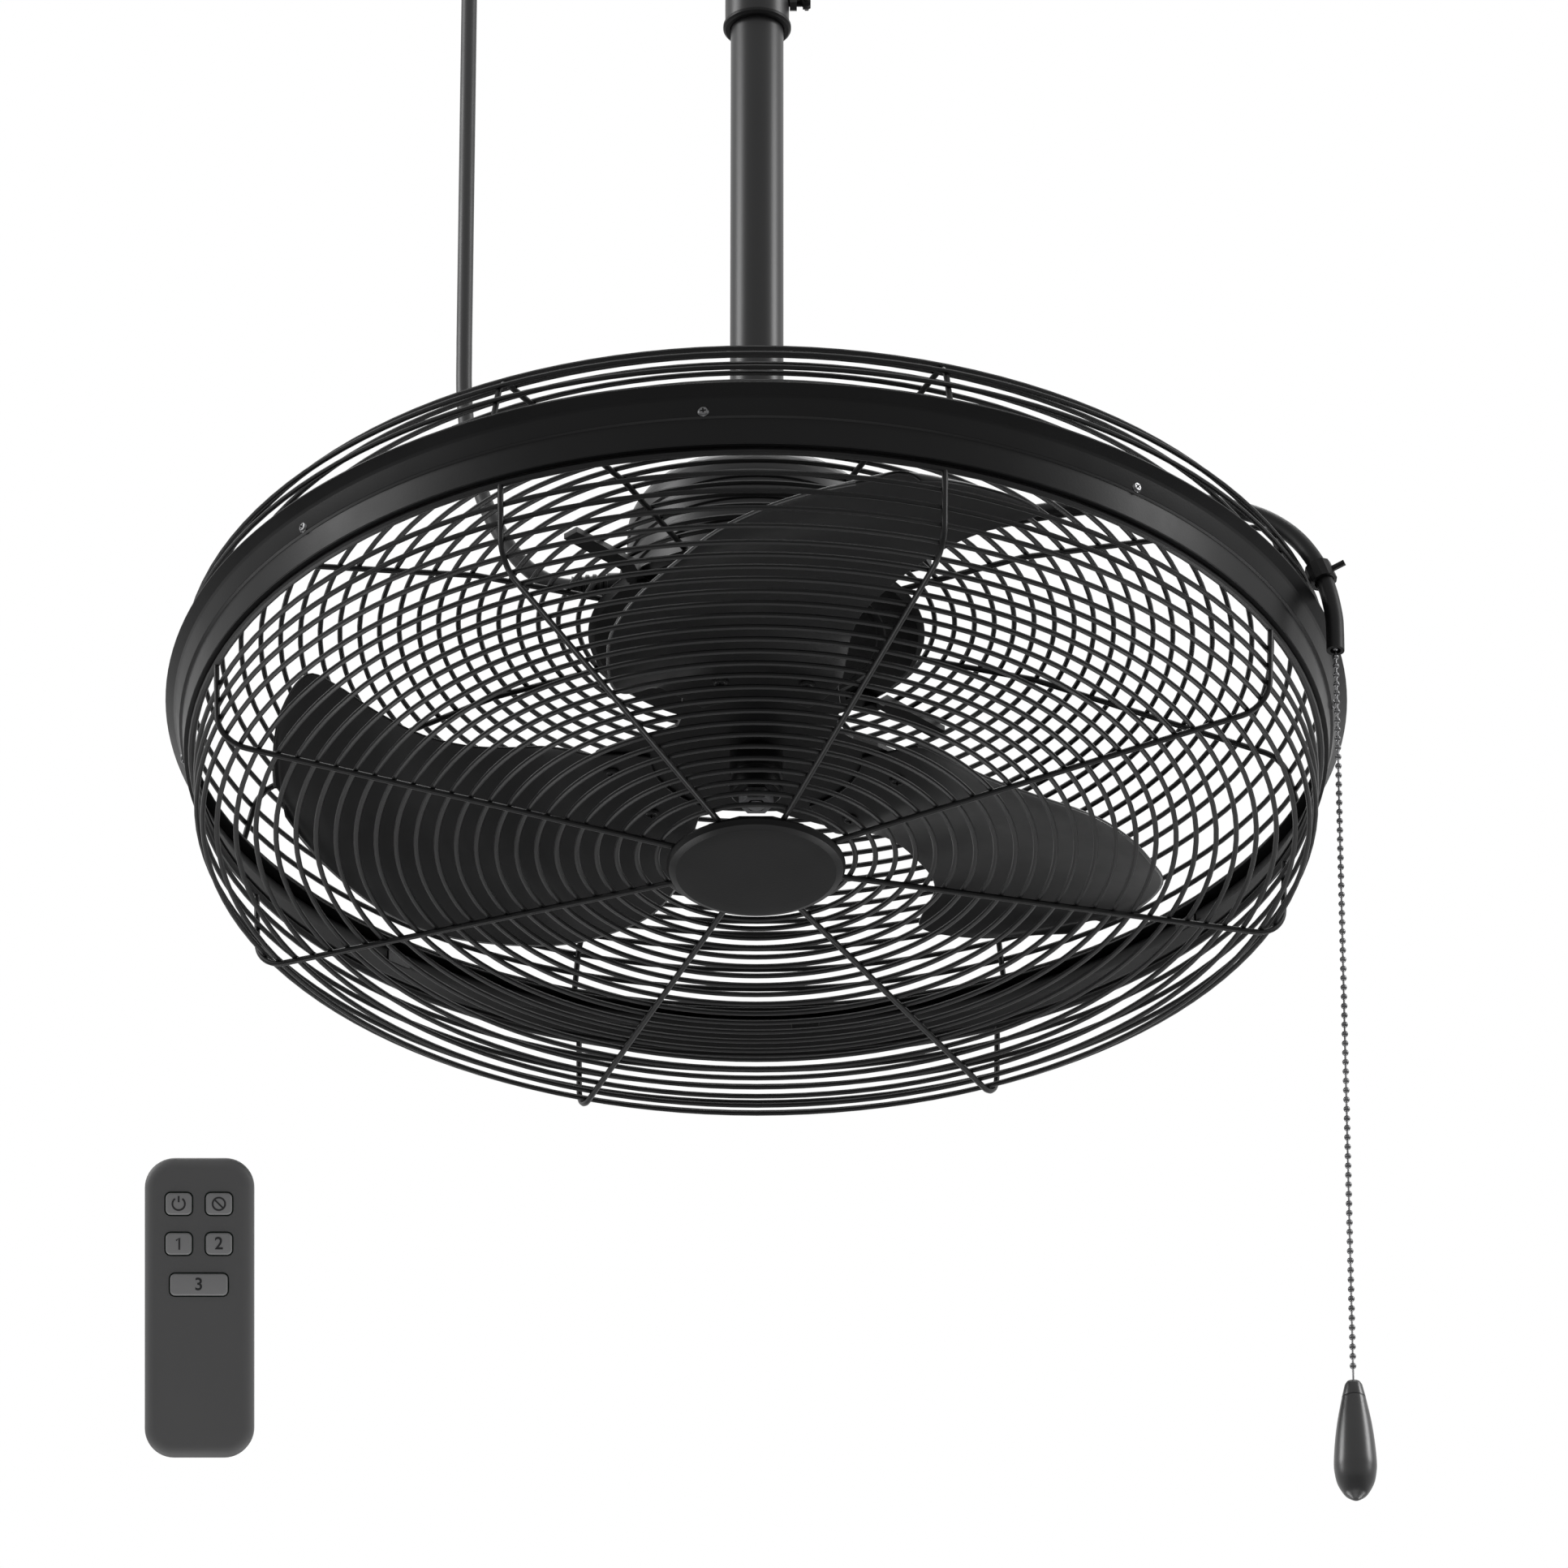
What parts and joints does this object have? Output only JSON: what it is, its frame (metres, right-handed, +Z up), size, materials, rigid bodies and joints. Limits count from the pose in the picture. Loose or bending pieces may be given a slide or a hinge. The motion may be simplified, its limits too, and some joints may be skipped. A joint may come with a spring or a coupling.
{
  "type": "swag fan",
  "caption": "Hanging fan on a telescopic drop rod, with a welded-wire cage in a round hoop, sickle blades, a rear motor, a pull chain through a curved guide and a small remote",
  "frame": {"origin": "middle of the ceiling plate's upper face, which lies against the ceiling", "axes": "+Z up into the ceiling; +X towards the side of the rod lock screw and the pull chain; -Y towards the viewer of the picture"},
  "size_m": [0.5826, 0.5806, 1.1286],
  "materials": {
    "black_paint": "black powder coat",
    "black_plastic": "black moulded plastic",
    "blade_paint": "black paint, slightly glossy",
    "button_rubber": "light grey silicone",
    "cell_wrap": "wrapped cell",
    "chain_metal": "dark beads",
    "circuit": "circuit board",
    "copper": "enamelled copper winding",
    "cord_rubber": "satin black sleeve",
    "lamination": "stacked plates",
    "motor_paint": "dark grey metallic paint",
    "pull_lacquer": "glossy black",
    "remote_shell_plastic": "dark grey, fine satin",
    "rod_paint": "satin dark grey",
    "steel": "bright steel",
    "wire_paint": "black coated wire",
    "zinc": "zinc-plated"
  },
  "bodies": {
    "ceiling_side": {"ceiling_plate": "black_paint", "top_bolt": "zinc", "top_nut": "zinc", "cord_ceiling_cup": "black_plastic", "outer_tube": "rod_paint", "glide_bush": "black_plastic", "lock_nut": "rod_paint", "power_cord": "cord_rubber"},
    "fan": {"badge_back": "black_paint", "badge_cap": "black_paint", "badge_screw": "zinc", "chain_guide": "black_plastic", "coupling_pin": "zinc", "coupling_pin_clip": "zinc", "front_bearing": "steel", "front_guard_face": "wire_paint", "front_guard_wall": "wire_paint", "guard_strap_left": "black_paint", "guard_strap_right": "black_paint", "guide_clip": "black_paint", "inner_tube": "rod_paint", "lower_winding": "copper", "motor_front_plate": "black_paint", "motor_rear_housing": "motor_paint", "pull_switch": "black_plastic", "rear_bearing": "steel", "rear_guard_face": "wire_paint", "rear_guard_wall": "wire_paint", "receiver_board": "circuit", "rim_hoop": "black_paint", "rod_coupling": "rod_paint", "run_capacitor": "black_plastic", "stator_core": "lamination", "strain_relief": "black_plastic", "upper_winding": "copper"},
    "rotor": {"motor_shaft": "steel", "rotor_core": "lamination", "blade_1": "blade_paint", "blade_2": "blade_paint", "blade_3": "blade_paint", "blade_hub": "blade_paint", "hub_nut": "zinc"},
    "lock_screw": {"thumb_screw": "zinc"},
    "pull": {"pull_chain": "chain_metal", "chain_bell": "chain_metal", "pull_knob": "pull_lacquer"},
    "remote": {"remote_front": "remote_shell_plastic", "remote_back": "remote_shell_plastic", "remote_board": "circuit", "remote_cell_left": "cell_wrap", "remote_cell_right": "cell_wrap"},
    "remote_door": {"remote_battery_door": "remote_shell_plastic"},
    "button_power_key": {"button_power": "button_rubber"},
    "button_off_key": {"button_off": "button_rubber"},
    "button_1_key": {"button_1": "button_rubber"},
    "button_2_key": {"button_2": "button_rubber"},
    "button_3_key": {"button_3": "button_rubber"}
  },
  "joints": [
    {"name": "rod_height", "type": "slide", "parent": "ceiling_side", "child": "fan", "axis": [0, 0, 1], "range_m": [0, 0.11], "deforming": ["power_cord"]},
    {"name": "lock_screw_turn", "type": "hinge", "parent": "ceiling_side", "child": "lock_screw", "pos_m": [0.02, 0, -0.202], "axis": [1, 0, 0], "range_deg": [-360, 360]},
    {"name": "blades_spin", "type": "hinge", "parent": "fan", "child": "rotor", "pos_m": [0, 0, -0.654], "axis": [0, 0, 1], "continuous": true},
    {"name": "chain_pull", "type": "slide", "parent": "fan", "child": "pull", "axis": [0, 0, -1], "range_m": [0, 0.01], "stiffness_N_per_m": 900, "springref_m": -0.001},
    {"name": "remote_lift", "type": "slide", "parent": "ceiling_side", "child": "remote", "axis": [0, 0, 1], "range_m": [0, 0.12]},
    {"name": "battery_door_lift", "type": "slide", "parent": "remote", "child": "remote_door", "axis": [0, 0.848, 0.5299], "range_m": [0, 0.03]},
    {"name": "button_power_press", "type": "slide", "parent": "remote", "child": "button_power_key", "axis": [0, 0.848, 0.5299], "range_m": [0, 0.0006], "stiffness_N_per_m": 1500, "springref_m": -0.0002},
    {"name": "button_off_press", "type": "slide", "parent": "remote", "child": "button_off_key", "axis": [0, 0.848, 0.5299], "range_m": [0, 0.0006], "stiffness_N_per_m": 1500, "springref_m": -0.0002},
    {"name": "button_1_press", "type": "slide", "parent": "remote", "child": "button_1_key", "axis": [0, 0.848, 0.5299], "range_m": [0, 0.0006], "stiffness_N_per_m": 1500, "springref_m": -0.0002},
    {"name": "button_2_press", "type": "slide", "parent": "remote", "child": "button_2_key", "axis": [0, 0.848, 0.5299], "range_m": [0, 0.0006], "stiffness_N_per_m": 1500, "springref_m": -0.0002},
    {"name": "button_3_press", "type": "slide", "parent": "remote", "child": "button_3_key", "axis": [0, 0.848, 0.5299], "range_m": [0, 0.0006], "stiffness_N_per_m": 1500, "springref_m": -0.0002}
  ]
}
